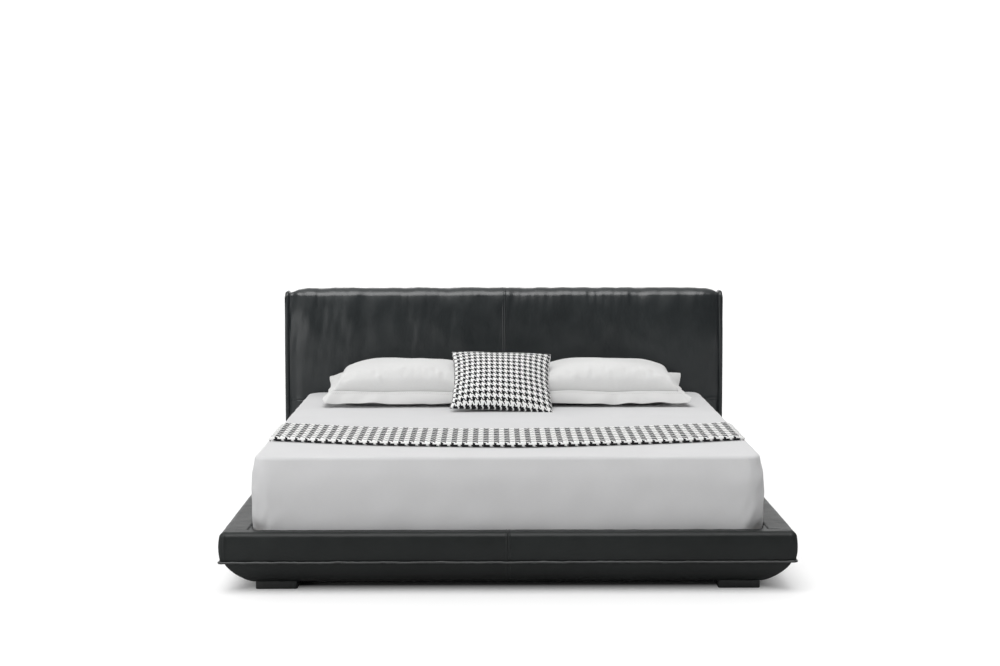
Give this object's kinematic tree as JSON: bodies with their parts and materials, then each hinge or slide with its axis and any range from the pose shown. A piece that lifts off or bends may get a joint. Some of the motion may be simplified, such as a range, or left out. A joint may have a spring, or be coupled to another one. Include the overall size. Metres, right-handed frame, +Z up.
{
  "type": "upholstered platform bed",
  "caption": "Low leather-upholstered platform bed with padded headboard, undercut padded rails, slatted base, block feet, mattress, pillows, cushion and bed runner.",
  "frame": {"origin": "on the floor, at the middle of the bed's overall box", "axes": "+X to the right seen from the foot end, +Y from the foot end towards the headboard, +Z up"},
  "size_m": [2.02, 2.1997, 0.947],
  "materials": {
    "rail_leather": "satin",
    "headboard_leather": "satin",
    "piping_leather": "satin",
    "foot_lacquer": "satin",
    "pine": "matte",
    "beech_slat": "satin",
    "foam": "matte",
    "zinc_steel": "satin",
    "black_steel": "satin",
    "backing_cloth": "matte",
    "ticking": "matte",
    "sheet_cotton": "matte",
    "pillow_cotton": "matte",
    "houndstooth_cotton": "matte"
  },
  "bodies": {
    "bed_frame": {"foot_rail_core": "pine", "foot_rail_plinth": "pine", "foot_rail_foam": "foam", "foot_rail_leather": "rail_leather", "foot_rail_lower_leather": "rail_leather", "side_rail_left_core": "pine", "side_rail_left_plinth": "pine", "side_rail_left_foam": "foam", "side_rail_left_leather": "rail_leather", "side_rail_left_lower_leather": "rail_leather", "side_rail_right_core": "pine", "side_rail_right_plinth": "pine", "side_rail_right_foam": "foam", "side_rail_right_leather": "rail_leather", "side_rail_right_lower_leather": "rail_leather", "base_welt": "piping_leather", "head_rail": "pine", "side_cleat_left": "pine", "side_cleat_right": "pine", "centre_beam": "pine", "headboard_board": "pine", "headboard_post_left": "pine", "headboard_post_right": "pine", "slat_01": "beech_slat", "slat_02": "beech_slat", "slat_03": "beech_slat", "slat_04": "beech_slat", "slat_05": "beech_slat", "slat_06": "beech_slat", "slat_07": "beech_slat", "slat_08": "beech_slat", "slat_09": "beech_slat", "slat_10": "beech_slat", "slat_11": "beech_slat", "slat_12": "beech_slat", "beam_hanger_front": "zinc_steel", "beam_hanger_rear": "zinc_steel", "headboard_bolt_left": "zinc_steel", "headboard_bolt_right": "zinc_steel", "corner_bracket_front_left": "zinc_steel", "foot_front_left": "foot_lacquer", "corner_bracket_front_right": "zinc_steel", "foot_front_right": "foot_lacquer", "centre_leg_front": "black_steel", "corner_bracket_rear_left": "zinc_steel", "foot_rear_left": "foot_lacquer", "corner_bracket_rear_right": "zinc_steel", "foot_rear_right": "foot_lacquer", "centre_leg_rear": "black_steel", "headboard_foam": "foam", "headboard_leather": "headboard_leather", "headboard_back_cloth": "backing_cloth"},
    "mattress": {"mattress": "ticking", "fitted_sheet": "sheet_cotton"},
    "pillow_left": {"pillow_left": "pillow_cotton"},
    "pillow_right": {"pillow_right": "pillow_cotton"},
    "cushion": {"cushion": "houndstooth_cotton"},
    "runner": {"bed_runner": "houndstooth_cotton"},
    "leveller_front": {"leveller_front": "black_steel"},
    "leveller_rear": {"leveller_rear": "black_steel"}
  },
  "joints": [
    {"name": "mattress_lift", "type": "slide", "parent": "bed_frame", "child": "mattress", "axis": [0, 0, 1], "range_m": [0, 0.2]},
    {"name": "pillow_left_lift", "type": "slide", "parent": "mattress", "child": "pillow_left", "axis": [0, 0, 1], "range_m": [0, 0.16]},
    {"name": "pillow_right_lift", "type": "slide", "parent": "mattress", "child": "pillow_right", "axis": [0, 0, 1], "range_m": [0, 0.16]},
    {"name": "cushion_lift", "type": "slide", "parent": "pillow_left", "child": "cushion", "axis": [0, 0, 1], "range_m": [0, 0.2]},
    {"name": "runner_lift", "type": "slide", "parent": "mattress", "child": "runner", "axis": [0, 0, 1], "range_m": [0, 0.16]},
    {"name": "leveller_front_screw", "type": "slide", "parent": "bed_frame", "child": "leveller_front", "axis": [0, 0, 1], "range_m": [-0.012, 0]},
    {"name": "leveller_rear_screw", "type": "slide", "parent": "bed_frame", "child": "leveller_rear", "axis": [0, 0, 1], "range_m": [-0.012, 0]}
  ],
  "couplings": [
    {"joint": "pillow_right_lift", "follows": "pillow_left_lift", "ratio": 1}
  ]
}
